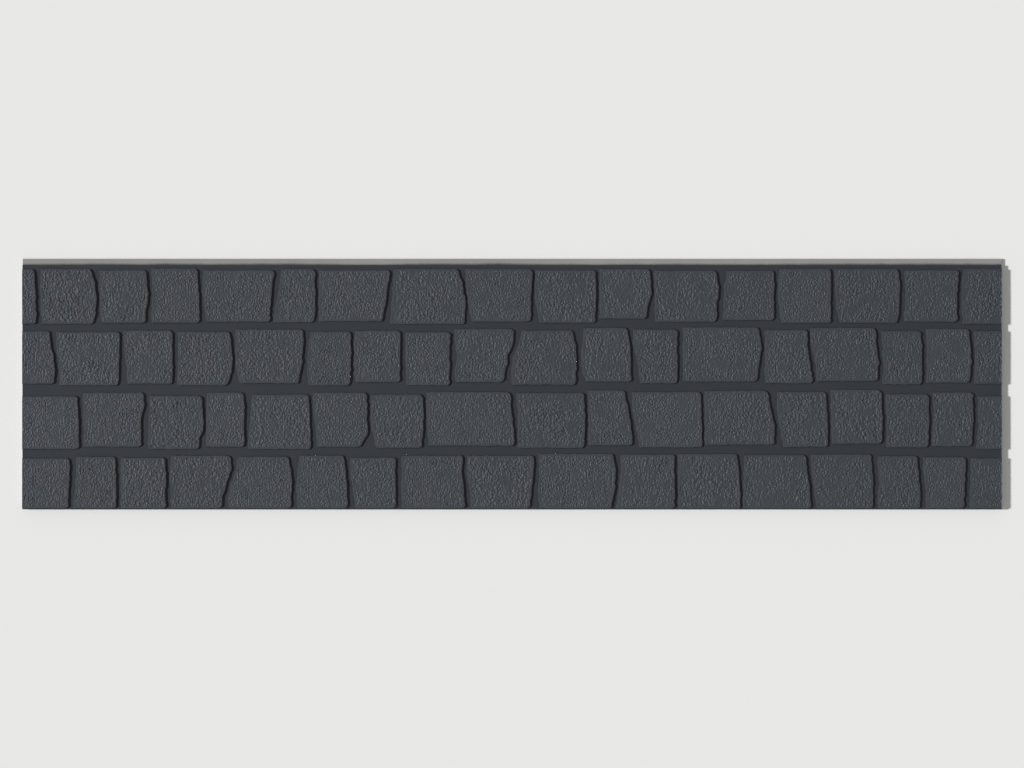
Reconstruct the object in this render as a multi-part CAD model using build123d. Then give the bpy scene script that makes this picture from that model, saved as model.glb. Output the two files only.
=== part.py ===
"""Fibre cement wall panel pressed with four courses of squared stones.

The panel lies on its back. X runs along the courses from the left end, Y up
the wall from the lower edge and Z out of the face. All sizes are in mm.
"""

import os
from math import acos, degrees, sin, tan
from typing import NamedTuple

from build123d import *

# Board
PANEL_LENGTH = 1818.0
COVER_HEIGHT = 455.0
THICKNESS = 16.0
RELIEF_DEPTH = 5.0

# Lap between a panel and the one above it
LAP_GAP = 1.5
LAP_HEIGHT = 12.0
TIP_CLEARANCE = 1.5
TONGUE_THICKNESS = 6.5
LAP_CLEARANCE = 1.0
LAP_CHAMFER = 1.0

# Stones
LEFT_RADIUS = 2.5
RIGHT_RADIUS = 6.0
WALL_DRAFT = 10.0
EDGE_CHAMFER = 1.2
CORNER_FACETS = 3

# Press plate the stones are drawn on
PLATE_LENGTH = 1818.0
PLATE_HEIGHT = 455.0

FRONT_HEIGHT = COVER_HEIGHT - LAP_GAP
OVERALL_HEIGHT = FRONT_HEIGHT + LAP_HEIGHT
REBATE_HEIGHT = LAP_HEIGHT - LAP_GAP + TIP_CLEARANCE
REBATE_DEPTH = TONGUE_THICKNESS + LAP_CLEARANCE
JOINT_FLOOR = THICKNESS - RELIEF_DEPTH


class Stone(NamedTuple):
    """One stone: X down its left and right sides at even steps from the head
    to the foot, then the height of its foot and head above the course line."""

    left: tuple[float, ...]
    right: tuple[float, ...]
    foot: float
    head: float


class Course(NamedTuple):
    """One row of stones and the height of the line it stands on."""

    line: float
    stones: tuple[Stone, ...]


# Bottom course, whose feet stand level just above the lower edge
BOTTOM = Course(0, (
    Stone((100, 100, 97, 95), (173, 175, 175), 2, 98),
    Stone((183, 183), (266, 267), 2, 96),
    Stone((277, 274, 276, 277), (387, 388, 381, 373, 369), 2, 100),
    Stone((401, 397, 389, 383, 382), (494, 499, 502, 500, 499), 2, 98),
    Stone((515, 511, 509, 512), (597, 601, 603, 604), 2, 100),
    Stone((609, 610, 615, 619), (693, 694), 2, 96),
    Stone((705, 705), (819, 817, 820, 823), 2, 100),
    Stone((827, 825, 831, 833), (951, 949, 945, 942), 2, 100),
    Stone((959, 960, 958, 960), (1098, 1102, 1100, 1093), 2, 103),
    Stone((1112, 1112, 1107, 1103), (1211, 1211), 2, 102),
    Stone((1217, 1218), (1326, 1331, 1333, 1334), 2, 103),
    Stone((1341, 1339, 1338), (1455, 1460, 1465), 2, 101),
    Stone((1464, 1466, 1470, 1476), (1576, 1580, 1579), 2, 102),
    Stone((1588, 1590, 1589), (1661, 1664, 1667, 1667), 2, 99),
    Stone((1672, 1674, 1678, 1678), (1751, 1750, 1748), 2, 97),
    Stone((1761, 1760, 1758), (1906, 1907, 1905, 1904), 2, 95),
))

# Third course from the top
THIRD = Course(108, (
    Stone((113, 115), (227, 227, 220, 221, 221), 8, 109),
    Stone((237, 235, 234), (334, 335, 336, 337, 330, 329), 4, 103),
    Stone((344, 342, 342), (412, 413, 413), 8, 109),
    Stone((428, 422, 419), (533, 535, 536), 4, 105),
    Stone((540, 540, 546, 548), (640, 641, 641, 643, 627), 8, 109),
    Stone((647, 647, 649, 658), (743, 745, 745, 741), 6, 105),
    Stone((751, 751, 755), (906, 909, 912, 915), 10, 110),
    Stone((919, 921, 920), (1043, 1045, 1045, 1043), 6, 108),
    Stone((1051, 1052), (1118, 1125, 1131, 1133), 11, 113),
    Stone((1132, 1133, 1140, 1147), (1260, 1261, 1262, 1262), 7, 110),
    Stone((1267, 1267), (1383, 1390, 1397, 1396), 12, 112),
    Stone((1402, 1401, 1407, 1413), (1492, 1495, 1496), 8, 110),
    Stone((1501, 1502, 1503), (1594, 1597, 1596), 14, 114),
    Stone((1603, 1605, 1604), (1682, 1684, 1681), 7, 106),
    Stone((1690, 1692, 1690, 1688), (1764, 1766, 1762), 9, 109),
    Stone((1774, 1775, 1771), (1921, 1923, 1924), 4, 102),
))

# Second course from the top
SECOND = Course(226, (
    Stone((63, 63, 67, 70, 69), (181, 181, 179), 4, 103),
    Stone((188, 190, 193, 196), (279, 280, 279), 7, 106),
    Stone((289, 290, 287), (385, 389, 391, 389, 381), 4, 104),
    Stone((396, 396, 396, 404), (522, 522, 519, 513), 8, 108),
    Stone((535, 532, 530, 529, 532), (610, 611, 609), 4, 104),
    Stone((618, 616, 616, 619), (702, 702, 701), 10, 106),
    Stone((711, 712, 714), (794, 794, 793), 4, 103),
    Stone((802, 803, 808, 804, 804), (913, 912, 902, 898, 893), 10, 109),
    Stone((928, 922, 911, 908, 908), (1022, 1029, 1029, 1027), 5, 106),
    Stone((1042, 1041, 1038, 1039, 1045), (1123, 1128, 1130, 1131), 11, 111),
    Stone((1134, 1134, 1139, 1145, 1147), (1216, 1216), 8, 108),
    Stone((1227, 1227), (1366, 1373, 1368, 1363), 11, 112),
    Stone((1379, 1379), (1458, 1458, 1463, 1469), 8, 107),
    Stone((1463, 1463, 1469, 1474, 1474), (1584, 1586, 1590, 1588), 12, 111),
    Stone((1594, 1597, 1599, 1597), (1668, 1671, 1670), 6, 105),
    Stone((1678, 1680, 1679), (1757, 1760, 1762, 1758), 9, 109),
    Stone((1767, 1769, 1768), (1870, 1871, 1877, 1880, 1877), 7, 105),
))

# Top course
TOP = Course(341, (
    Stone((34, 34, 37), (127, 135, 139, 138, 132), 3, 105),
    Stone((143, 144, 147), (230, 232, 235, 230, 228), 5, 103),
    Stone((240, 242, 240), (325, 329, 329), 5, 106),
    Stone((337, 335, 337, 343), (469, 464, 461, 460), 7, 103),
    Stone((480, 478, 471, 466), (543, 545, 543), 6, 105),
    Stone((551, 551), (683, 679, 674, 669), 8, 103),
    Stone((691, 687, 683), (809, 819, 823, 821), 3, 105),
    Stone((823, 824, 828, 836), (947, 945, 944), 7, 105),
    Stone((952, 951, 954, 961), (1065, 1066, 1063), 5, 103),
    Stone((1072, 1072), (1164, 1167, 1169, 1161, 1157), 13, 105),
    Stone((1173, 1174, 1175), (1287, 1293, 1290, 1288), 7, 102),
    Stone((1309, 1303, 1302, 1301), (1396, 1396, 1395), 10, 102),
    Stone((1405, 1403, 1405, 1409), (1502, 1501, 1501), 5, 105),
    Stone((1508, 1509, 1511, 1518), (1626, 1630, 1629, 1624), 5, 105),
    Stone((1638, 1640, 1637), (1738, 1735, 1736), 7, 103),
    Stone((1747, 1744, 1746), (1840, 1844, 1844), 3, 105),
))


def side(levels, head, foot):
    """Points of one side from the head down, its X values evenly spaced."""
    step = (foot - head) / (len(levels) - 1)
    return [Vector(x, head + step * i) for i, x in enumerate(levels)]


def rounded(points, radii):
    """The outline with each corner of a radius rounded in short straight
    facets, as the pressed corners are."""
    outline = []
    for i, (point, radius) in enumerate(zip(points, radii)):
        if not radius:
            outline.append(point)
            continue
        back = (points[i - 1] - point).normalized()
        on = (points[(i + 1) % len(points)] - point).normalized()
        half = acos(back.dot(on)) / 2
        centre = point + (back + on).normalized() * (radius / sin(half))
        first = point + back * (radius / tan(half)) - centre
        turn = (180 - 2 * degrees(half)) / CORNER_FACETS
        for step in range(CORNER_FACETS + 1):
            outline.append(centre + first.rotate(Axis.Z, turn * step))
    return outline


def drafted(face, amount, angle):
    """The face pushed out by the amount, with its walls leaning inward by the
    angle as they rise."""
    prism = extrude(face, amount).solid()
    walls = prism.faces().filter_by(lambda wall: abs(wall.normal_at().Z) < 0.5)
    return draft(walls, Plane(face.faces()[0]), angle)


def stone_solid(stone, line, shift):
    """The stone standing on the joint floor, with drafted sides and a
    chamfered top edge. The shift moves it along the panel."""
    scale = COVER_HEIGHT / PLATE_HEIGHT
    foot, head = (line + stone.foot) * scale, (line + stone.head) * scale
    left = side([x + shift for x in stone.left], head, foot)
    right = side([x + shift for x in stone.right], head, foot)
    points = left + right[::-1]
    radii = [0.0] * len(points)
    radii[0] = radii[len(left) - 1] = LEFT_RADIUS
    radii[-1] = radii[len(left)] = RIGHT_RADIUS
    outline = Polyline(*rounded(points, radii), close=True)
    face = Plane.XY.offset(THICKNESS - EDGE_CHAMFER) * make_face(outline)
    sides = drafted(face, EDGE_CHAMFER - RELIEF_DEPTH, WALL_DRAFT)
    return sides + drafted(face, EDGE_CHAMFER, 45)


def board_solid():
    """The board up to the joint floor, with the tongue behind its upper edge
    and the rebate behind its lower edge."""
    section = Polyline(
        (0, REBATE_DEPTH),
        (REBATE_HEIGHT - LAP_CHAMFER, REBATE_DEPTH),
        (REBATE_HEIGHT, REBATE_DEPTH - LAP_CHAMFER),
        (REBATE_HEIGHT, 0),
        (OVERALL_HEIGHT - LAP_CHAMFER, 0),
        (OVERALL_HEIGHT, LAP_CHAMFER),
        (OVERALL_HEIGHT, TONGUE_THICKNESS - LAP_CHAMFER),
        (OVERALL_HEIGHT - LAP_CHAMFER, TONGUE_THICKNESS),
        (FRONT_HEIGHT, TONGUE_THICKNESS),
        (FRONT_HEIGHT, JOINT_FLOOR),
        (0, JOINT_FLOOR),
        close=True,
    )
    return extrude(Plane.YZ * make_face(section), PANEL_LENGTH)


def face_box():
    """The space the stones may fill, out to the panel's square-cut edges."""
    return Box(
        PANEL_LENGTH,
        FRONT_HEIGHT,
        THICKNESS,
        align=(Align.MIN, Align.MIN, Align.MIN),
    )


def all_stones():
    """Every stone on the panel, cut square where it crosses an edge. The
    plate's pattern carries on from its right end to its left."""
    limit = face_box()
    solids = []
    plates = range(-1, int(PANEL_LENGTH // PLATE_LENGTH) + 1)
    for course in (BOTTOM, THIRD, SECOND, TOP):
        for stone in course.stones:
            for plate in plates:
                shift = plate * PLATE_LENGTH
                near = min(stone.left) + shift
                far = max(stone.right) + shift
                if far <= 0 or near >= PANEL_LENGTH:
                    continue
                solid = stone_solid(stone, course.line, shift)
                if near < RELIEF_DEPTH or far > PANEL_LENGTH - RELIEF_DEPTH:
                    solid = solid & limit
                solids.append(solid)
    return solids


panel = board_solid().fuse(*all_stones()).clean()
panel = panel.moved(Location((-PANEL_LENGTH / 2, -OVERALL_HEIGHT / 2, 0)))
panel = panel.solids()[0]
panel.label = "panel"

os.makedirs("parts", exist_ok=True)
export_step(panel, "parts/panel.step")
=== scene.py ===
"""Looks of a pressed fibre cement wall panel with a squared-stone face.

The panel lies on its back: X runs along the courses, Y up the wall and Z out
of the stone face. All sizes are in metres.
"""

import logging
import math
from dataclasses import dataclass, field
from enum import Enum

import bpy
import numpy as np
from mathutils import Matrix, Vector
from mathutils.geometry import delaunay_2d_cdt


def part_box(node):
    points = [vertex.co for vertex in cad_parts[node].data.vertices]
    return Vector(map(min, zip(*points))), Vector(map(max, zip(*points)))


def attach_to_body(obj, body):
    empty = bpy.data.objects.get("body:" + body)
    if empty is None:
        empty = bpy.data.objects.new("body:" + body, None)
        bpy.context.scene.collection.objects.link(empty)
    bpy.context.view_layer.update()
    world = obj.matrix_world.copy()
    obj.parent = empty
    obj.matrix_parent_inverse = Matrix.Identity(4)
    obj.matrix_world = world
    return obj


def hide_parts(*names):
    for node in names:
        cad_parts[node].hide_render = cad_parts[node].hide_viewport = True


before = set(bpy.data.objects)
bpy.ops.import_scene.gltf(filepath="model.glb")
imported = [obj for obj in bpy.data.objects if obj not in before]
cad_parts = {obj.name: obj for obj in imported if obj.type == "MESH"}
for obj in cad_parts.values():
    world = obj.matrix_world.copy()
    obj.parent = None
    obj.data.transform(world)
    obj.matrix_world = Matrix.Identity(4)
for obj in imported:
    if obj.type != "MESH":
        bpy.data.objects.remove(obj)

Socket = bpy.types.NodeSocket
Sockets = bpy.types.bpy_prop_collection
Tree = bpy.types.NodeTree
Piece = bpy.types.Object
Material = bpy.types.Material
Colour = tuple[float, float, float]
Span = tuple[float, float]

log = logging.getLogger("panel")

# Points closer than this lie in one plane.
TOUCHING = 1e-5
# Outlines are followed in whole micrometres.
MICRONS = 1e6
# Mean of a noise value.
NOISE_MIDDLE = 0.5
# A face is saw-cut where its cut value, which is 0 or 1, is above this.
CUT_ABOVE = 0.5
# Seed of the bottom course, which the others count up from.
FIRST_SEED = 20
# Places of the colour sockets on a Mix node.
MIX_A, MIX_B, MIX_RESULT = 6, 7, 2


class Slot(Enum):
    """Material slots of the record."""

    COATED = "coated_face"
    RAW = "raw_cement"


class Course(Enum):
    """The four rows of stones, from the tongue down to the lip."""

    TOP = "top"
    SECOND = "second"
    THIRD = "third"
    BOTTOM = "bottom"


class Side(Enum):
    """Materials of the board's sides, by their number on its mesh."""

    COATED = 0
    BARE = 1
    SPRAYED = 2


@dataclass(frozen=True)
class PanelSizes:
    """Sizes of the board, with Y measured from its middle."""

    length: float
    height: float
    thickness: float
    joint_floor: float = 0.011
    shoulder_drop: float = 0.012
    tongue_thickness: float = 0.0065
    rebate_height: float = 0.012
    rebate_depth: float = 0.0075

    @classmethod
    def from_frame(cls) -> "PanelSizes":
        """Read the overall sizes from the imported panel."""
        low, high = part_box("panel")
        return cls(high.x - low.x, high.y - low.y, high.z - low.z)

    @property
    def right(self) -> float:
        """X of the right end."""
        return self.length / 2

    @property
    def lower(self) -> float:
        """Y of the lower edge."""
        return -self.height / 2

    @property
    def upper(self) -> float:
        """Y of the tongue's tip."""
        return self.height / 2

    @property
    def shoulder(self) -> float:
        """Y of the front's upper edge, below the tongue."""
        return self.upper - self.shoulder_drop

    def on_cut(self, points: np.ndarray) -> np.ndarray:
        """Tell which points lie on a square-cut edge of the face.

        Args:
            points: X and Y of each point.

        Returns:
            True for each point on an end or on the lower edge.
        """
        at_end = np.abs(points[:, 0]) > self.right - TOUCHING
        return at_end | (points[:, 1] < self.lower + TOUCHING)

    def from_cut(self, points: np.ndarray) -> np.ndarray:
        """Distance of each point from the nearest square-cut edge."""
        to_end = self.right - np.abs(points[:, 0])
        return np.minimum(to_end, points[:, 1] - self.lower)


class NodeWriter:
    """Adds nodes to a tree and links them."""

    def __init__(self, tree: Tree) -> None:
        """Keep the tree to write in."""
        self.tree = tree

    def add(self, kind: str, **settings: object) -> bpy.types.Node:
        """Add a node and set its properties.

        Args:
            kind: The node's type name.
            settings: Properties to set on it.

        Returns:
            The new node.
        """
        node = self.tree.nodes.new(kind)
        for name, value in settings.items():
            setattr(node, name, value)
        return node

    def feed(self, target: Socket, value: object) -> None:
        """Link a socket to the target, or set the target's own value.

        Args:
            target: The input to feed.
            value: A socket, or a value of the target's kind.
        """
        if isinstance(value, Socket):
            self.tree.links.new(value, target)
        else:
            target.default_value = value

    def math(self, operation: str, *values: object) -> Socket:
        """Add a maths node.

        Args:
            operation: Its operation, such as MULTIPLY.
            values: Numbers or sockets for its inputs, in order.

        Returns:
            Its output.
        """
        node = self.add("ShaderNodeMath", operation=operation)
        for socket, value in zip(node.inputs, values):
            self.feed(socket, value)
        return node.outputs[0]

    def vector(self, operation: str, *values: object) -> Socket:
        """Add a vector maths node.

        Args:
            operation: Its operation, such as SCALE.
            values: Vectors or sockets, then the factor for SCALE.

        Returns:
            Its vector output.
        """
        node = self.add("ShaderNodeVectorMath", operation=operation)
        if operation == "SCALE":
            self.feed(node.inputs[0], values[0])
            self.feed(node.inputs["Scale"], values[1])
        else:
            for socket, value in zip(node.inputs, values):
                self.feed(socket, value)
        return node.outputs[0]

    def combine(self, x: object, y: object, z: object) -> Socket:
        """Join three numbers into a vector.

        Args:
            x: Number or socket for X.
            y: Number or socket for Y.
            z: Number or socket for Z.

        Returns:
            The vector.
        """
        node = self.add("ShaderNodeCombineXYZ")
        for socket, value in zip(node.inputs, (x, y, z)):
            self.feed(socket, value)
        return node.outputs[0]

    def noise(
        self, vector: object, w: object = 0.0, detail: float = 2.0, rough: float = 0.5
    ) -> bpy.types.Node:
        """Add smooth noise with one bump to each unit of its vector.

        Args:
            vector: Where to read the noise.
            w: Which noise to read, so that pieces differ.
            detail: Number of finer layers.
            rough: Strength of each finer layer.

        Returns:
            The noise node.
        """
        node = self.add("ShaderNodeTexNoise", noise_dimensions="4D")
        self.feed(node.inputs["Vector"], vector)
        self.feed(node.inputs["W"], w)
        node.inputs["Scale"].default_value = 1.0
        node.inputs["Detail"].default_value = detail
        node.inputs["Roughness"].default_value = rough
        return node

    def remap(
        self, value: object, low: float, high: float, to_low: object, to_high: object
    ) -> Socket:
        """Map a range of values to another, clamped.

        Args:
            value: The number to map.
            low: Start of its range.
            high: End of its range.
            to_low: Result at the start.
            to_high: Result at the end.

        Returns:
            The mapped number.
        """
        node = self.add("ShaderNodeMapRange", clamp=True)
        for socket, number in zip(node.inputs, (value, low, high, to_low, to_high)):
            self.feed(socket, number)
        return node.outputs[0]

    def sway(self, start: object, noise: Socket, share: float) -> Socket:
        """Add a share of a noise's swing about its middle to a number."""
        swing = self.math("SUBTRACT", noise, NOISE_MIDDLE)
        return self.math("MULTIPLY_ADD", swing, share, start)

    def split(self, vector: Socket) -> Sockets:
        """Split a vector into its X, Y and Z.

        Args:
            vector: The vector.

        Returns:
            Sockets named X, Y and Z.
        """
        node = self.add("ShaderNodeSeparateXYZ")
        self.feed(node.inputs[0], vector)
        return node.outputs

    def group(self, tree: Tree, values: dict[str, object]) -> Sockets:
        """Place a shader node group and set its inputs.

        Args:
            tree: The group.
            values: Numbers or sockets for its inputs, by name.

        Returns:
            Its outputs.
        """
        node = self.add("ShaderNodeGroup", node_tree=tree)
        for name, value in values.items():
            self.feed(node.inputs[name], value)
        return node.outputs

    def bump(self, height: Socket, depth: float) -> Socket:
        """Add a bump at full strength.

        Args:
            height: The height field.
            depth: Real depth of one unit of it.

        Returns:
            The normal.
        """
        node = self.add("ShaderNodeBump")
        node.inputs["Strength"].default_value = 1.0
        node.inputs["Distance"].default_value = depth
        self.feed(node.inputs["Height"], height)
        return node.outputs[0]


def new_socket(
    tree: Tree, name: str, kind: str, value: object = None, out: bool = False
) -> None:
    """Add a named input or output to a node group.

    Args:
        tree: The group.
        name: The socket's name.
        kind: Its type, such as Float or Geometry.
        value: Its default, if it has one.
        out: True for an output.
    """
    socket = tree.interface.new_socket(
        name, in_out="OUTPUT" if out else "INPUT", socket_type=f"NodeSocket{kind}"
    )
    if value is not None:
        socket.default_value = value


@dataclass(frozen=True)
class GrainSizes:
    """Sizes of a grain, such as the pressed one of the stones.

    Its bumps are across by along, strong in patches of the patch size and
    faint, by that share, between them.
    """

    across: float = 0.0026
    along: float = 0.0034
    patch: float = 0.022
    faint: float = 0.28

    def named(self) -> dict[str, float]:
        """Give each size by the name of its node socket."""
        return {
            "Across": self.across,
            "Along": self.along,
            "Patch": self.patch,
            "Faint": self.faint,
        }


@dataclass(frozen=True)
class GrainField:
    """Nodes of the grain, which the mesh and the finishes share."""

    detail: float
    layering: float = 0.4
    patch_detail: float = 1.0
    patch_layering: float = 0.5
    patch_range: Span = (0.36, 0.64)

    def height(
        self, write: NodeWriter, place: Socket, given: Sockets | dict[str, Socket]
    ) -> Socket:
        """Add the nodes.

        Args:
            write: Where to add them.
            place: The point's place.
            given: Sockets named Across, Along, Patch, Faint and Pick.

        Returns:
            The grain's height, about zero.
        """
        flat = write.vector("MULTIPLY", place, (1.0, 1.0, 0.0))
        across = write.math("DIVIDE", 1.0, given["Across"])
        along = write.math("DIVIDE", 1.0, given["Along"])
        scaled = write.vector("MULTIPLY", flat, write.combine(across, along, across))
        grain = write.noise(scaled, given["Pick"], self.detail, self.layering)
        wide = write.vector("SCALE", flat, write.math("DIVIDE", 1.0, given["Patch"]))
        patch = write.noise(wide, given["Pick"], self.patch_detail, self.patch_layering)
        strength = write.remap(patch.outputs[0], *self.patch_range, given["Faint"], 1.0)
        swing = write.math("SUBTRACT", grain.outputs[0], NOISE_MIDDLE)
        return write.math("MULTIPLY", swing, strength)


@dataclass
class ShaderEffects:
    """Node groups that more than one finish uses."""

    cloud_size: float = 0.06
    cloud_detail: float = 3.0
    speck_size: float = 0.0012
    speck_detail: float = 1.0
    layering: float = 0.55
    grain: GrainField = GrainField(2.0)
    relief: Tree = field(init=False)
    mottle: Tree = field(init=False)

    def __post_init__(self) -> None:
        """Build each group once."""
        self.relief = self._relief()
        self.mottle = self._mottle()

    def _relief(self) -> Tree:
        """Build the grain, strong in some patches and faint in others.

        Returns:
            A group with the grain's height, about zero.
        """
        tree = bpy.data.node_groups.new("pressed_relief", "ShaderNodeTree")
        for name, value in {**GrainSizes().named(), "Pick": 0.0}.items():
            new_socket(tree, name, "Float", value)
        new_socket(tree, "Height", "Float", out=True)
        write = NodeWriter(tree)
        given = write.add("NodeGroupInput").outputs
        place = write.add("ShaderNodeTexCoord").outputs["Object"]
        ends = write.add("NodeGroupOutput").inputs
        write.feed(ends["Height"], self.grain.height(write, place, given))
        return tree

    def _mottle(self) -> Tree:
        """Build cloudy shade and fine specks.

        Returns:
            A group with the clouds and the specks, each about 0.5.
        """
        tree = bpy.data.node_groups.new("cement_mottle", "ShaderNodeTree")
        sizes = {"Cloud": self.cloud_size, "Speck": self.speck_size, "Pick": 0.0}
        for name, value in sizes.items():
            new_socket(tree, name, "Float", value)
        new_socket(tree, "Clouds", "Float", out=True)
        new_socket(tree, "Specks", "Float", out=True)
        write = NodeWriter(tree)
        given = write.add("NodeGroupInput").outputs
        place = write.add("ShaderNodeTexCoord").outputs["Object"]
        ends = write.add("NodeGroupOutput").inputs
        for size, result, detail in (
            ("Cloud", "Clouds", self.cloud_detail),
            ("Speck", "Specks", self.speck_detail),
        ):
            share = write.math("DIVIDE", 1.0, given[size])
            scaled = write.vector("SCALE", place, share)
            noise = write.noise(scaled, given["Pick"], detail, self.layering)
            write.feed(ends[result], noise.outputs[0])
        return tree


@dataclass(frozen=True)
class CoatedFinish:
    """Dark matt coating over the pressed face.

    The shades are shares of its colour, rough is the roughness from the thin
    to the thick clouds, and grazing is where a slanting view turns it matt.
    """

    name: str
    colour: Colour
    grain_depth: float
    # Share of colour by grain height: tops lighter as wear, pits darker as painted
    # shade.
    grain_wear_and_shade: float
    grain: GrainSizes
    rough: Span = (0.43, 0.53)
    specular: float = 0.4
    rim_rough: float = 0.35
    grazing: Span = (0.35, 0.9)
    grazing_rough: float = 0.95
    tone_shade: float = 0.04
    # Painted shade: the share by which the stones' rounded shoulders are darkened.
    rim_painted_shade: float = -0.12
    cloud_shade: float = 0.10
    cloud_range: Span = (0.3, 0.7)
    speck_shade: float = 0.2
    speck_height: float = 0.05
    slot: Slot = Slot.COATED

    def material(self, effects: ShaderEffects) -> Material:
        """Build the coating's material.

        Args:
            effects: The shared node groups.

        Returns:
            The material.
        """
        material = bpy.data.materials.new(self.name)
        material.use_nodes = True
        tree = material.node_tree
        write = NodeWriter(tree)
        shader = tree.nodes["Principled BSDF"]
        shader.inputs["Specular IOR Level"].default_value = self.specular
        tone, rim, mask, pick = (
            write.add("ShaderNodeAttribute", attribute_name=name).outputs["Fac"]
            for name in ("tone", "rim", "relief", "pick")
        )
        relief = write.group(effects.relief, {"Pick": pick, **self.grain.named()})
        mottle = write.group(effects.mottle, {"Pick": pick})
        grain = write.math("MULTIPLY", relief["Height"], mask)
        clouds, specks = mottle["Clouds"], mottle["Specks"]
        # Wear lightens the grain's tops, and painted shade darkens its pits.
        shade = write.math("MULTIPLY_ADD", grain, self.grain_wear_and_shade, 1.0)
        shade = write.math("MULTIPLY_ADD", tone, self.tone_shade, shade)
        # Painted shade darkens the colour on each stone's rounded shoulder.
        shade = write.math("MULTIPLY_ADD", rim, self.rim_painted_shade, shade)
        shade = write.sway(shade, clouds, self.cloud_shade)
        shade = write.sway(shade, specks, self.speck_shade)
        colour = write.vector("SCALE", self.colour, shade)
        write.feed(shader.inputs["Base Color"], colour)
        rough = write.remap(clouds, *self.cloud_range, *self.rough)
        rough = write.math("MULTIPLY_ADD", rim, self.rim_rough, rough)
        facing = write.add("ShaderNodeLayerWeight").outputs["Facing"]
        grazing = write.remap(facing, *self.grazing, 0.0, 1.0)
        matt = write.math("SUBTRACT", self.grazing_rough, rough)
        rough = write.math("MULTIPLY_ADD", matt, grazing, rough)
        write.feed(shader.inputs["Roughness"], rough)
        height = write.math("MULTIPLY_ADD", specks, self.speck_height, grain)
        write.feed(shader.inputs["Normal"], write.bump(height, self.grain_depth))
        return material


@dataclass(frozen=True)
class RawFinish:
    """Bare fibre cement, with felt marks, fibre flecks and stray coating.

    The shades are shares of its colour. The coating's mist covers what lies
    below spray_from, reaches spray_reach past it and thins out over overspray.
    """

    name: str
    colour: Colour
    overspray: float = 0.0
    spray_from: float = 0.0
    spray_reach: float = 0.0045
    spray_clouds: float = 0.006
    spray_specks: float = 0.003
    coat: Colour = (0.05, 0.055, 0.062)
    felt: GrainSizes = GrainSizes(0.03, 0.0016, 0.12)
    felt_shade: float = 0.10
    fibre: GrainSizes = GrainSizes(0.005, 0.0007, 0.01, 0.0)
    fibre_pick: float = 5.0
    fleck_range: Span = (0.16, 0.24)
    fleck_shade: float = 0.16
    cloud_size: float = 0.09
    cloud_shade: float = 0.30
    speck_shade: float = 0.22
    speck_height: float = 0.6
    speck_range: Span = (0.3, 0.7)
    rough: Span = (0.82, 0.95)
    depth: float = 0.00012
    slot: Slot = Slot.RAW

    def material(self, effects: ShaderEffects) -> Material:
        """Build the cement's material.

        Args:
            effects: The shared node groups.

        Returns:
            The material.
        """
        material = bpy.data.materials.new(self.name)
        material.use_nodes = True
        tree = material.node_tree
        write = NodeWriter(tree)
        shader = tree.nodes["Principled BSDF"]
        mottle = write.group(effects.mottle, {"Cloud": self.cloud_size})
        clouds, specks = mottle["Clouds"], mottle["Specks"]
        felt = write.group(effects.relief, self.felt.named())["Height"]
        fibre = write.group(
            effects.relief, {**self.fibre.named(), "Pick": self.fibre_pick}
        )["Height"]
        flecks = write.remap(fibre, *self.fleck_range, 0.0, self.fleck_shade)
        shade = write.math("MULTIPLY_ADD", felt, self.felt_shade, 1.0)
        shade = write.sway(shade, clouds, self.cloud_shade)
        shade = write.sway(shade, specks, self.speck_shade)
        shade = write.math("ADD", shade, flecks)
        colour = write.vector("SCALE", self.colour, shade)
        if self.overspray:
            colour = self._sprayed(write, colour, clouds, specks)
        write.feed(shader.inputs["Base Color"], colour)
        rough = write.remap(specks, *self.speck_range, *self.rough)
        write.feed(shader.inputs["Roughness"], rough)
        height = write.math("MULTIPLY_ADD", specks, self.speck_height, felt)
        height = write.math("ADD", height, flecks)
        write.feed(shader.inputs["Normal"], write.bump(height, self.depth))
        return material

    def _sprayed(
        self, write: NodeWriter, colour: Socket, clouds: Socket, specks: Socket
    ) -> Socket:
        """Lay the coating's mist over the cement's colour.

        Args:
            write: Where to add the nodes.
            colour: The cement's colour.
            clouds: Cloudy noise for the mist's uneven edge.
            specks: Fine noise for its grains.

        Returns:
            The colour with the mist.
        """
        place = write.add("ShaderNodeTexCoord").outputs["Object"]
        mist = write.split(place)["Y"]
        mist = write.math("MULTIPLY_ADD", clouds, self.spray_clouds, mist)
        mist = write.math("MULTIPLY_ADD", specks, self.spray_specks, mist)
        reach = self.spray_from + self.spray_reach
        mask = write.remap(mist, reach, reach + self.overspray, 1.0, 0.0)
        mix = write.add("ShaderNodeMix", data_type="RGBA")
        write.feed(mix.inputs["Factor"], mask)
        write.feed(mix.inputs[MIX_A], colour)
        mix.inputs[MIX_B].default_value = (*self.coat, 1.0)
        return mix.outputs[MIX_RESULT]


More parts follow.
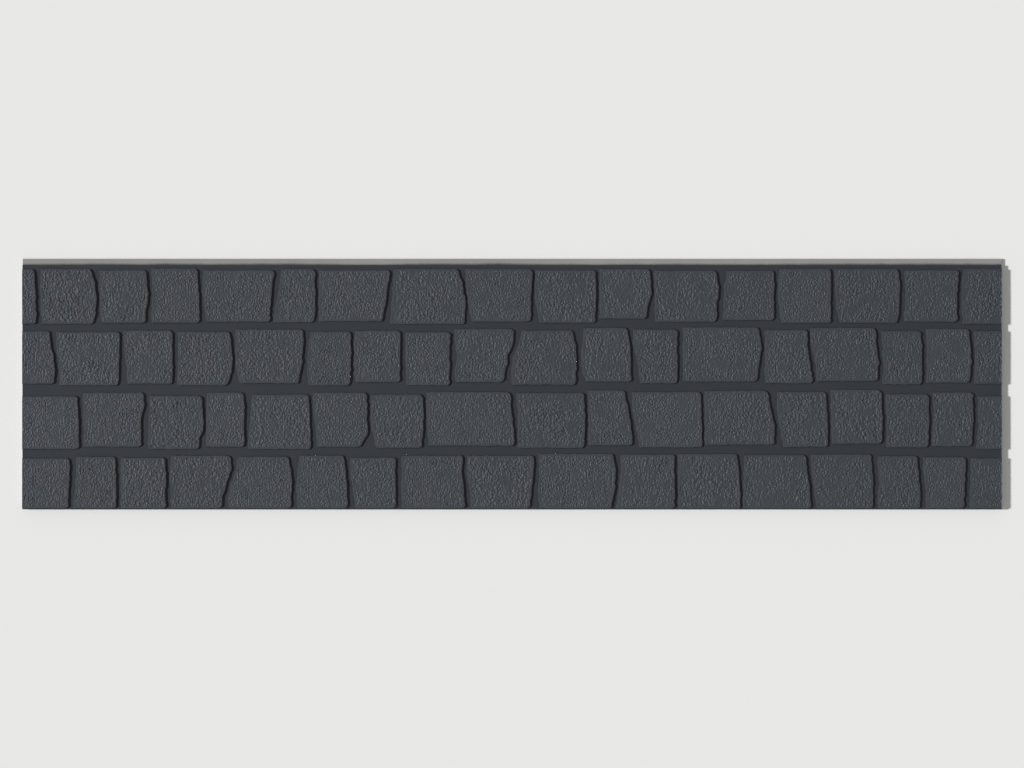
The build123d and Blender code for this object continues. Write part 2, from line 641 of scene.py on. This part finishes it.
@dataclass(frozen=True)
class PressedGrain:
    """Tree that gives the stones their swell, coarse grain and uneven edges."""

    ceiling: float
    grain: GrainSizes
    texture: GrainField = GrainField(1.0)
    grain_depth: float = 0.0031
    swell_depth: float = 0.0012
    swell_size: float = 0.035
    swell_middle: float = 0.6
    wobble_across: float = 0.0075
    wobble_along: float = 0.0038
    wobble_size: float = 0.010
    wobble_layering: float = 0.6
    seed: float = 3.0

    def tree(self) -> Tree:
        """Build the tree.

        Returns:
            The tree, with its sizes and materials as named inputs.
        """
        tree = bpy.data.node_groups.new("pressed_grain", "GeometryNodeTree")
        new_socket(tree, "Geometry", "Geometry")
        for name, value in (
            ("Ceiling", self.ceiling),
            *self.grain.named().items(),
            ("Grain Depth", self.grain_depth),
            ("Swell Depth", self.swell_depth),
            ("Swell Size", self.swell_size),
            ("Wobble Across", self.wobble_across),
            ("Wobble Along", self.wobble_along),
            ("Wobble Size", self.wobble_size),
            ("Seed", self.seed),
        ):
            new_socket(tree, name, "Float", value)
        new_socket(tree, "Coating", "Material")
        new_socket(tree, "Cement", "Material")
        new_socket(tree, "Geometry", "Geometry", out=True)
        write = NodeWriter(tree)
        given = write.add("NodeGroupInput").outputs
        place = write.add("GeometryNodeInputPosition").outputs[0]
        relief, own, loose, cut = (
            self._attribute(write, name) for name in ("relief", "pick", "loose", "cut")
        )
        pick = write.math("ADD", own, given["Seed"])
        sizes = {name: given[name] for name in self.grain.named()}
        grain = self.texture.height(write, place, {**sizes, "Pick": own})
        swell = write.noise(self._over(write, place, given["Swell Size"]), pick)
        rise = write.math("SUBTRACT", swell.outputs[0], self.swell_middle)
        rise = write.math("MULTIPLY", rise, given["Swell Depth"])
        rise = write.math("MULTIPLY_ADD", grain, given["Grain Depth"], rise)
        room = write.math("SUBTRACT", given["Ceiling"], write.split(place)["Z"])
        lifted = write.math("MINIMUM", write.math("MULTIPLY", rise, relief), room)
        edge = write.noise(
            self._over(write, place, given["Wobble Size"]),
            pick,
            rough=self.wobble_layering,
        )
        middle = (NOISE_MIDDLE, NOISE_MIDDLE, NOISE_MIDDLE)
        drift = write.vector("SUBTRACT", edge.outputs["Color"], middle)
        shares = (
            write.math("MULTIPLY", loose, given[name])
            for name in ("Wobble Across", "Wobble Along")
        )
        drift = write.vector("MULTIPLY", drift, write.combine(*shares, 0.0))
        moved = write.vector("ADD", drift, write.combine(0.0, 0.0, lifted))
        shift = write.add("GeometryNodeSetPosition")
        write.feed(shift.inputs["Geometry"], given["Geometry"])
        write.feed(shift.inputs["Offset"], moved)
        real = write.add("GeometryNodeRealizeInstances")
        write.feed(real.inputs[0], shift.outputs[0])
        coat = write.add("GeometryNodeSetMaterial")
        write.feed(coat.inputs["Geometry"], real.outputs[0])
        write.feed(coat.inputs["Material"], given["Coating"])
        bare = write.add("GeometryNodeSetMaterial")
        write.feed(bare.inputs["Geometry"], coat.outputs[0])
        is_cut = write.math("GREATER_THAN", cut, CUT_ABOVE)
        write.feed(bare.inputs["Selection"], is_cut)
        write.feed(bare.inputs["Material"], given["Cement"])
        write.feed(write.add("NodeGroupOutput").inputs[0], bare.outputs[0])
        return tree

    @staticmethod
    def _attribute(write: NodeWriter, name: str) -> Socket:
        """Read a named attribute of the mesh.

        Args:
            write: Where to add the node.
            name: The attribute's name.

        Returns:
            Its value.
        """
        node = write.add("GeometryNodeInputNamedAttribute", data_type="FLOAT")
        node.inputs["Name"].default_value = name
        return node.outputs["Attribute"]

    @staticmethod
    def _over(write: NodeWriter, place: Socket, size: Socket) -> Socket:
        """Divide a place by a size."""
        return write.vector("SCALE", place, write.math("DIVIDE", 1.0, size))


def apply_tree(piece: Piece, tree: Tree, values: dict[str, object]) -> None:
    """Run a Geometry Nodes tree on a piece and keep the result as its mesh.

    Args:
        piece: The object to change.
        tree: The tree to run.
        values: Inputs to set, by name.
    """
    modifier = piece.modifiers.new(tree.name, "NODES")
    modifier.node_group = tree
    for item in tree.interface.items_tree:
        if item.in_out == "INPUT" and item.name in values:
            modifier[item.identifier] = values[item.name]
    graph = bpy.context.evaluated_depsgraph_get()
    result = bpy.data.meshes.new_from_object(
        piece.evaluated_get(graph), preserve_all_data_layers=True, depsgraph=graph
    )
    piece.modifiers.remove(modifier)
    piece.data = result
    result.name = piece.name


def make_piece(name: str, vertices: np.ndarray, faces: list[list[int]]) -> Piece:
    """Make a mesh object at the origin.

    Args:
        name: The piece's name.
        vertices: Its points, in the panel's frame.
        faces: Point numbers of each face.

    Returns:
        The object, linked to the scene.
    """
    mesh = bpy.data.meshes.new(name)
    mesh.from_pydata(vertices.tolist(), [], faces)
    piece = bpy.data.objects.new(name, mesh)
    bpy.context.scene.collection.objects.link(piece)
    return piece


def add_values(
    mesh: bpy.types.Mesh, name: str, values: np.ndarray, domain: str = "POINT"
) -> None:
    """Store one number for each point or face of a mesh."""
    layer = mesh.attributes.new(name, "FLOAT", domain)
    layer.data.foreach_set("value", np.asarray(values, np.float32))


def top_outlines(panel: Piece, level: float) -> list[np.ndarray]:
    """Find the outline of each stone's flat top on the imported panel.

    Args:
        panel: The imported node.
        level: Height of the tops.

    Returns:
        The outlines, anticlockwise, sorted by place.
    """
    mesh = panel.data
    places = np.empty(len(mesh.vertices) * 3, np.float32)
    mesh.vertices.foreach_get("co", places)
    places = places.reshape(-1, 3)
    mesh.calc_loop_triangles()
    corners = np.empty(len(mesh.loop_triangles) * 3, np.int32)
    mesh.loop_triangles.foreach_get("vertices", corners)
    corners = corners.reshape(-1, 3)
    off_top = np.abs(places[corners][:, :, 2] - level)
    flat = corners[(off_top < TOUCHING).all(axis=1)]
    spots = np.round(places[:, :2] * MICRONS).astype(int)
    keys = [tuple(key) for key in spots.tolist()]
    edges = {
        (keys[p], keys[q])
        for a, b, c in flat.tolist()
        for p, q in ((a, b), (b, c), (c, a))
    }
    onward = {p: q for p, q in sorted(edges) if (q, p) not in edges}
    outlines = []
    while onward:
        start = min(onward)
        outline, here = [start], onward.pop(start)
        while here != start:
            outline.append(here)
            here = onward.pop(here)
        outlines.append(np.array(outline) / MICRONS)
    return sorted(outlines, key=lambda outline: tuple(outline.mean(axis=0)))


@dataclass(frozen=True)
class Ring:
    """One level of a stone's side.

    out is how far it stands outside the flat top, height its Z, relief how
    much of the grain it takes and rim how much rougher its coat is and how
    much painted shade darkens it.
    """

    out: float
    height: float
    relief: float = 0.0
    rim: float = 0.0


@dataclass(frozen=True)
class StoneShape:
    """How one stone's surface is laid out over its outline.

    The outline has points each side_step. It is smoothed, then its bends are
    brought out by the share bite of what further smoothing takes from them,
    less and less over clear_of_cut towards a saw cut. The top is filled in
    steps of fill_across and fill_along, the first at the share fill_gap of a
    step from the outline. The grain grows from its least share past
    plain_rim to its full depth over fade. Where a side meets a saw cut at a
    slant, its points slide along the cut, at most by 1 / least_slant.
    """

    side_step: float = 0.0019
    fill_across: float = 0.0014
    fill_along: float = 0.0015
    fill_gap: float = 0.6
    smoothing: int = 1
    sharpening: int = 3
    bite: float = 0.8
    clear_of_cut: float = 0.008
    level: float = 0.0152
    plain_rim: float = 0.0005
    fade: float = 0.003
    least_grain: float = 0.2
    least_slant: float = 0.5
    rings: tuple[Ring, ...] = (
        Ring(0.0008, 0.0103),
        Ring(0.0020, 0.0109),
        Ring(0.0017, 0.0115),
        Ring(0.0014, 0.0134, 0.0, 0.4),
        Ring(0.0012, 0.0146, 0.0, 1.0),
        Ring(0.0008, 0.0151, 0.0, 1.0),
        Ring(0.0003, 0.0152, 0.1, 0.6),
        Ring(-0.0006, 0.0152, 0.2, 0.2),
    )

    def outline(self, corners: np.ndarray, sizes: PanelSizes) -> np.ndarray:
        """Divide a stone's outline evenly and sharpen its corners and bends.

        Args:
            corners: The outline's corners.
            sizes: The board, whose cut edges stay straight.

        Returns:
            The finer outline.
        """
        points = []
        for start, end in zip(corners, np.roll(corners, -1, axis=0)):
            count = max(1, round(float(np.linalg.norm(end - start)) / self.side_step))
            points.extend(start + (end - start) * (i / count) for i in range(count))
        line = np.array(points)
        held = sizes.on_cut(line)[:, None]
        line = np.where(held, line, self._softened(line, self.smoothing))
        step = np.linalg.norm(line - np.roll(line, 1, axis=0), axis=1)
        room = np.minimum(step, np.roll(step, -1)) / self.side_step
        free = np.clip(sizes.from_cut(line) / self.clear_of_cut, 0, 1)
        share = self.bite * free * np.minimum(room, 1) ** 2
        return line + (line - self._softened(line, self.sharpening)) * share[:, None]

    @staticmethod
    def _softened(line: np.ndarray, passes: int) -> np.ndarray:
        """Draw each point of a closed line towards its neighbours.

        Args:
            line: The line.
            passes: How often to do so.

        Returns:
            The softer line.
        """
        for _ in range(passes):
            line = (np.roll(line, 1, axis=0) + np.roll(line, -1, axis=0)) / 4 + line / 2
        return line

    def outward(self, line: np.ndarray, sizes: PanelSizes) -> np.ndarray:
        """Find which way each point of an outline moves as the stone widens.

        Args:
            line: The outline.
            sizes: The board, along whose cut edges the points slide.

        Returns:
            One vector for each point, zero along a cut edge.
        """
        before, after = np.roll(line, 1, axis=0), np.roll(line, -1, axis=0)
        along = after - before
        along /= np.linalg.norm(along, axis=1)[:, None]
        ways = np.stack((along[:, 1], -along[:, 0]), axis=1)
        held = sizes.on_cut(line)
        for i in np.flatnonzero(held):
            held_before, held_after = held[i - 1], held[(i + 1) % len(line)]
            ways[i] = 0.0
            if held_before == held_after:
                continue
            turn = 1 if held_before else -1
            fixed, free = (before[i], after[i])[::turn]
            slide = (line[i] - fixed) / np.linalg.norm(line[i] - fixed)
            side = (free - line[i]) / np.linalg.norm(free - line[i])
            square = np.array((side[1], -side[0])) * turn
            ways[i] = slide / max(self.least_slant, float(slide @ square))
        return ways

    def fill(self, line: np.ndarray) -> tuple[np.ndarray, np.ndarray]:
        """Lay points inside an outline, in staggered rows.

        Args:
            line: The outline.

        Returns:
            The points, none near the outline, and how much of the grain each
            takes.
        """
        low, high = line.min(axis=0), line.max(axis=0)
        rows = np.arange(low[1], high[1], self.fill_along)
        spots = np.arange(low[0], high[0], self.fill_across)
        x, y = np.meshgrid(spots, rows)
        x[1::2] += self.fill_across / 2
        points = np.stack((x.ravel(), y.ravel()), axis=1)
        a, b = line, np.roll(line, -1, axis=0)
        to = points[:, None, :] - a[None]
        span = (b - a)[None]
        share = np.clip((to * span).sum(2) / (span**2).sum(2), 0, 1)
        gap = np.linalg.norm(to - span * share[:, :, None], axis=2).min(axis=1)
        above = a[None, :, 1] > points[:, None, 1]
        crosses = above != (b[None, :, 1] > points[:, None, 1])
        rise = np.where(span[..., 1] == 0, 1.0, span[..., 1])
        meets = a[None, :, 0] + to[..., 1] * span[..., 0] / rise
        inside = (crosses & (points[:, None, 0] < meets)).sum(axis=1) % 2 == 1
        kept = inside & (gap > self.fill_across * self.fill_gap)
        share = np.clip((gap[kept] - self.plain_rim) / self.fade, 0, 1)
        return points[kept], np.maximum(share**2 * (3 - 2 * share), self.least_grain)


@dataclass
class StoneCourse:
    """One row of pressed stones standing on the board's joint floor.

    Each stone leans by up to tilt and is domed by crown. Its foot is sunk in
    the board and drawn in from the saw cuts by cut_gap, or by deep_gap where
    it is deeper than deep. Its edges are free to waver past loose_reach from
    a cut, and each stone picks its own noise below picks.
    """

    course: Course
    sizes: PanelSizes
    outlines: list[np.ndarray]
    seed: int
    shape: StoneShape = field(default_factory=StoneShape)
    tilt: float = 0.003
    crown: float = 0.0001
    cut_gap: float = 0.00005
    deep_gap: float = 0.001
    deep: float = 0.0005
    loose_reach: float = 0.006
    picks: float = 90.0
    fill_scale: float = 1000.0
    fill_tolerance: float = 1e-6

    def _rings(self, line: np.ndarray, held: np.ndarray) -> list[np.ndarray]:
        """Lay out the rings of a stone's side.

        Args:
            line: The stone's outline.
            held: Which of its points lie on a cut edge.

        Returns:
            The points of each ring, from the foot up.
        """
        ways = self.shape.outward(line, self.sizes)
        middle = line.mean(axis=0)
        levels = []
        for ring in self.shape.rings:
            flat = line + ways * ring.out
            sunk = self.sizes.joint_floor - ring.height
            if sunk > 0:
                inward = middle - flat
                length = np.linalg.norm(inward, axis=1)[:, None]
                gap = self.deep_gap if sunk > self.deep else self.cut_gap
                flat = flat + inward / length * gap * held[:, None]
            levels.append(np.column_stack((flat, np.full(len(line), ring.height))))
        return levels

    def _drop(
        self, points: np.ndarray, line: np.ndarray, lean: np.ndarray
    ) -> np.ndarray:
        """Find how far each point sinks as the stone leans and is domed.

        Args:
            points: The stone's points.
            line: Its outline.
            lean: Its slope along X and Y.

        Returns:
            The drops, none at the joint floor and full on the top.
        """
        middle = line.mean(axis=0)
        reach = np.abs(line - middle).max(axis=0)
        above = points[:, 2] - self.sizes.joint_floor
        share = np.clip(above / (self.shape.level - self.sizes.joint_floor), 0, 1)
        off = points[:, :2] - middle
        drop = (np.abs(lean) * reach).sum() - off @ lean
        drop += self.crown * ((off / reach) ** 2).sum(axis=1)
        return drop * share

    def _top(self, points: np.ndarray, count: int) -> list[list[int]]:
        """Join the last ring and the points inside it into the stone's top.

        Args:
            points: The last ring, then the points inside it.
            count: Points in the ring.

        Returns:
            The faces, by place in the points given.
        """
        flat = [Vector(p) for p in (points[:, :2] * self.fill_scale).tolist()]
        edges = [(i, (i + 1) % count) for i in range(count)]
        filled = delaunay_2d_cdt(flat, edges, [], 1, self.fill_tolerance)
        names = [sources[0] for sources in filled[3]]
        return [[names[i] for i in face] for face in filled[2]]

    def _stone(
        self, corners: np.ndarray, random: np.random.Generator
    ) -> tuple[np.ndarray, list[list[int]], dict[str, np.ndarray], list[float]]:
        """Build one stone.

        Args:
            corners: Outline of its flat top.
            random: Source of its tilt and tone.

        Returns:
            Its points, faces, values for each point, and for each face
            whether it is saw-cut.
        """
        line = self.shape.outline(corners, self.sizes)
        held = self.sizes.on_cut(line)
        count, rings = len(line), self.shape.rings
        levels = self._rings(line, held)
        inner, shares = self.shape.fill(levels[-1][:, :2])
        levels.append(np.column_stack((inner, np.full(len(inner), self.shape.level))))
        points = np.vstack(levels)
        lean = random.uniform(-self.tilt, self.tilt, 2)
        points[:, 2] -= self._drop(points, line, lean)
        faces, cut = self._skin(count, len(rings), held)
        below = (len(rings) - 1) * count
        top = self._top(points[below:], count)
        faces.extend([i + below for i in face] for face in top)
        cut.extend([0.0] * len(top))
        total = len(points)
        away = self.sizes.from_cut(points[:, :2])
        relief = np.repeat([ring.relief for ring in rings], count)
        rim = np.repeat([ring.rim for ring in rings], count)
        values = {
            "relief": np.concatenate((relief, shares)),
            "rim": np.concatenate((rim, np.zeros(len(inner)))),
            "tone": np.full(total, random.uniform(-1, 1)),
            "pick": np.full(total, random.uniform(0, self.picks)),
            "loose": np.clip(away / self.loose_reach, 0, 1),
        }
        return points, faces, values, cut

    @staticmethod
    def _skin(
        count: int, rings: int, held: np.ndarray
    ) -> tuple[list[list[int]], list[float]]:
        """Join the rings of a stone and close its underside.

        Args:
            count: Points in each ring.
            rings: Number of rings.
            held: Which points lie on a cut edge.

        Returns:
            The faces, and for each whether it is saw-cut.
        """
        faces = [list(range(count - 1, -1, -1))]
        cut = [0.0]
        for ring in range(rings - 1):
            low, high = ring * count, (ring + 1) * count
            for i in range(count):
                j = (i + 1) % count
                faces.append([low + i, low + j, high + j, high + i])
                cut.append(float(held[i] and held[j]))
        return faces, cut

    def build(self) -> Piece:
        """Build the course's mesh, before its grain.

        Returns:
            The piece.
        """
        random = np.random.default_rng(self.seed)
        points, faces, cuts, start = [], [], [], 0
        values: dict[str, list[np.ndarray]] = {}
        for corners in self.outlines:
            stone, skin, layers, cut = self._stone(corners, random)
            points.append(stone)
            faces.extend([i + start for i in face] for face in skin)
            cuts.extend(cut)
            for name, layer in layers.items():
                values.setdefault(name, []).append(layer)
            start += len(stone)
        piece = make_piece(f"stones_{self.course.value}", np.vstack(points), faces)
        for name, layers in values.items():
            add_values(piece.data, name, np.concatenate(layers))
        add_values(piece.data, "cut", np.array(cuts), "FACE")
        piece.data.polygons.foreach_set("use_smooth", np.array(cuts) < CUT_ABOVE)
        return piece

    def dress(
        self, piece: Piece, pressed: Tree, coating: Material, cement: Material
    ) -> None:
        """Press the grain into the course and give it its materials.

        Args:
            piece: The course's mesh.
            pressed: The pressed grain tree.
            coating: Material of the face.
            cement: Material of the saw cuts.
        """
        apply_tree(piece, pressed, {"Coating": coating, "Cement": cement})


@dataclass
class Board:
    """The board behind the stones, with its tongue, lip and joint floor."""

    sizes: PanelSizes
    corner_round: float = 0.001
    arris: float = 0.0003
    round_steps: int = 3
    stations: int = 36

    def section(self) -> list[tuple[float, float, Side]]:
        """Lay out the board's section.

        Returns:
            Y, Z and the kind of the side that starts there, anticlockwise
            seen from the right end.
        """
        size = self.sizes
        shoulder = size.shoulder
        rebate = size.lower + size.rebate_height
        corners = (
            (size.lower, size.rebate_depth, self.arris, Side.BARE),
            (rebate, size.rebate_depth, self.corner_round, Side.BARE),
            (rebate, 0.0, self.arris, Side.BARE),
            (size.upper, 0.0, self.corner_round, Side.BARE),
            (size.upper, size.tongue_thickness, self.corner_round, Side.SPRAYED),
            (shoulder, size.tongue_thickness, self.arris, Side.COATED),
            (shoulder, size.joint_floor, self.arris, Side.COATED),
            (size.lower, size.joint_floor, 0.0, Side.COATED),
        )
        points = []
        for i, (y, z, radius, side) in enumerate(corners):
            if not radius:
                points.append((y, z, side))
                continue
            here = Vector((y, z))
            back = (Vector(corners[i - 1][:2]) - here).normalized()
            on = (Vector(corners[(i + 1) % len(corners)][:2]) - here).normalized()
            centre = here + (back + on) * radius
            for step in range(self.round_steps + 1):
                angle = math.pi / 2 / self.round_steps * step
                spoke = -on * math.cos(angle) - back * math.sin(angle)
                spot = centre + spoke * radius
                points.append((spot.x, spot.y, side))
        return points

    def build(self) -> Piece:
        """Build the board's mesh.

        Returns:
            The piece.
        """
        section = self.section()
        count = len(section)
        right = self.sizes.right
        vertices, faces, materials = [], [], []
        for x in np.linspace(-right, right, self.stations):
            vertices.extend((x, y, z) for y, z, _ in section)
        for station in range(self.stations - 1):
            low, high = station * count, (station + 1) * count
            for i in range(count):
                j = (i + 1) % count
                faces.append([low + i, low + j, high + j, high + i])
                materials.append(section[i][2].value)
        faces.append(list(range(count - 1, -1, -1)))
        faces.append([(self.stations - 1) * count + i for i in range(count)])
        materials.extend((Side.BARE.value, Side.BARE.value))
        piece = make_piece("board", np.array(vertices), faces)
        piece.data.polygons.foreach_set("material_index", materials)
        return piece

    def dress(self, piece: Piece, materials: dict[Side, Material]) -> None:
        """Give the board its materials.

        Args:
            piece: The board.
            materials: The material of each kind of side.
        """
        kept = [face.material_index for face in piece.data.polygons]
        for side in Side:
            piece.data.materials.append(materials[side])
        piece.data.polygons.foreach_set("material_index", kept)


@dataclass(frozen=True)
class Studio:
    """Floor, light and camera."""

    sizes: PanelSizes
    lens: float = 135.0
    margin: float = 1.045
    sun_strength: float = 3.25
    sun_height: float = 39.0
    sun_from: float = 177.0
    sun_angle: float = 6.0
    ambient: float = 0.35
    pale: Colour = (0.80, 0.80, 0.79)
    backdrop: Colour = (0.86, 0.86, 0.85)
    floor_half: float = 15.0
    floor_gap: float = 0.0002
    floor_rough: float = 0.9
    sensor: float = 36.0

    def floor(self) -> None:
        """Lay the pale floor under the panel."""
        half = self.floor_half
        corners = ((-half, -half), (half, -half), (half, half), (-half, half))
        vertices = np.array([(x, y, -self.floor_gap) for x, y in corners])
        floor = make_piece("floor", vertices, [[0, 1, 2, 3]])
        material = bpy.data.materials.new("pale_floor")
        material.use_nodes = True
        shader = material.node_tree.nodes["Principled BSDF"]
        shader.inputs["Base Color"].default_value = (*self.pale, 1.0)
        shader.inputs["Roughness"].default_value = self.floor_rough
        floor.data.materials.append(material)

    def light(self) -> None:
        """Light the panel from its left, so each stone shades its right side."""
        lamp = bpy.data.lights.new("key", "SUN")
        lamp.energy = self.sun_strength
        lamp.angle = math.radians(self.sun_angle)
        key = bpy.data.objects.new("key", lamp)
        height, way = math.radians(self.sun_height), math.radians(self.sun_from)
        towards = Vector(
            (
                math.cos(way) * math.cos(height),
                math.sin(way) * math.cos(height),
                math.sin(height),
            )
        )
        key.rotation_euler = towards.to_track_quat("Z", "Y").to_euler()
        bpy.context.scene.collection.objects.link(key)
        world = bpy.data.worlds.new("studio")
        bpy.context.scene.world = world
        world.use_nodes = True
        tree = world.node_tree
        write = NodeWriter(tree)
        surround = tree.nodes["Background"]
        surround.inputs["Color"].default_value = (1.0, 1.0, 1.0, 1.0)
        surround.inputs["Strength"].default_value = self.ambient
        seen = write.add("ShaderNodeBackground")
        seen.inputs["Color"].default_value = (*self.backdrop, 1.0)
        in_view = write.add("ShaderNodeLightPath").outputs["Is Camera Ray"]
        mix = write.add("ShaderNodeMixShader")
        write.feed(mix.inputs[0], in_view)
        write.feed(mix.inputs[1], surround.outputs[0])
        write.feed(mix.inputs[2], seen.outputs[0])
        write.feed(tree.nodes["World Output"].inputs["Surface"], mix.outputs[0])

    def camera(self) -> None:
        """Look straight down on the panel, as the photograph does."""
        data = bpy.data.cameras.new("camera")
        data.lens = self.lens
        data.sensor_width = self.sensor
        camera = bpy.data.objects.new("camera", data)
        width = self.sizes.length * self.margin
        away = width / 2 / (data.sensor_width / 2 / data.lens)
        camera.location = (0.0, 0.0, self.sizes.thickness + away)
        bpy.context.scene.collection.objects.link(camera)
        bpy.context.scene.camera = camera


def courses(sizes: PanelSizes, panel: Piece) -> list[StoneCourse]:
    """Sort the stones into their four courses.

    Args:
        sizes: The board.
        panel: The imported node.

    Returns:
        The courses, from the bottom up.
    """
    outlines = top_outlines(panel, sizes.thickness)
    height = (sizes.shoulder - sizes.lower) / len(Course)
    upwards = tuple(reversed(Course))
    rows: dict[Course, list[np.ndarray]] = {course: [] for course in upwards}
    for outline in outlines:
        middle = (outline[:, 1].min() + outline[:, 1].max()) / 2
        row = min(len(upwards) - 1, int((middle - sizes.lower) / height))
        rows[upwards[row]].append(outline)
    return [
        StoneCourse(course, sizes, rows[course], FIRST_SEED + i)
        for i, course in enumerate(upwards)
    ]


def attach(piece: Piece) -> None:
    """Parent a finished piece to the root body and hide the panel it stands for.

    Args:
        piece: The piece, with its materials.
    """
    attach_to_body(piece, "root")
    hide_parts("panel")
    log.info("%s: %d faces", piece.name, len(piece.data.polygons))


def main() -> None:
    """Build the panel's pieces and the studio around them."""
    logging.basicConfig(level=logging.INFO, format="%(name)s: %(message)s")
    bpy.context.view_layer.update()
    sizes = PanelSizes.from_frame()
    effects = ShaderEffects()
    grain = GrainSizes()
    coating = CoatedFinish(
        "coated_stone",
        (0.0385, 0.0445, 0.0545),
        grain_depth=0.0031,
        grain_wear_and_shade=0.30,
        grain=grain,
    )
    joint = CoatedFinish(
        "coated_joint",
        (0.0195, 0.0245, 0.0325),
        grain_depth=0.0004,
        grain_wear_and_shade=0.06,
        grain=grain,
        rough=(0.62, 0.72),
    )
    cement = RawFinish("bare_cement", (0.30, 0.29, 0.265))
    tongue = RawFinish(
        "sprayed_tongue",
        (0.27, 0.265, 0.25),
        overspray=0.004,
        spray_from=sizes.shoulder,
    )
    stone_coat, joint_coat, bare, sprayed = (
        finish.material(effects) for finish in (coating, joint, cement, tongue)
    )
    pressed = PressedGrain(sizes.thickness, grain).tree()
    for course in courses(sizes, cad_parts["panel"]):
        piece = course.build()
        course.dress(piece, pressed, stone_coat, bare)
        attach(piece)
    board = Board(sizes)
    piece = board.build()
    board.dress(
        piece, {Side.COATED: joint_coat, Side.BARE: bare, Side.SPRAYED: sprayed}
    )
    attach(piece)
    studio = Studio(sizes)
    studio.floor()
    studio.light()
    studio.camera()
    bpy.context.scene.view_settings.view_transform = "Standard"


if __name__ == "__main__":
    main()
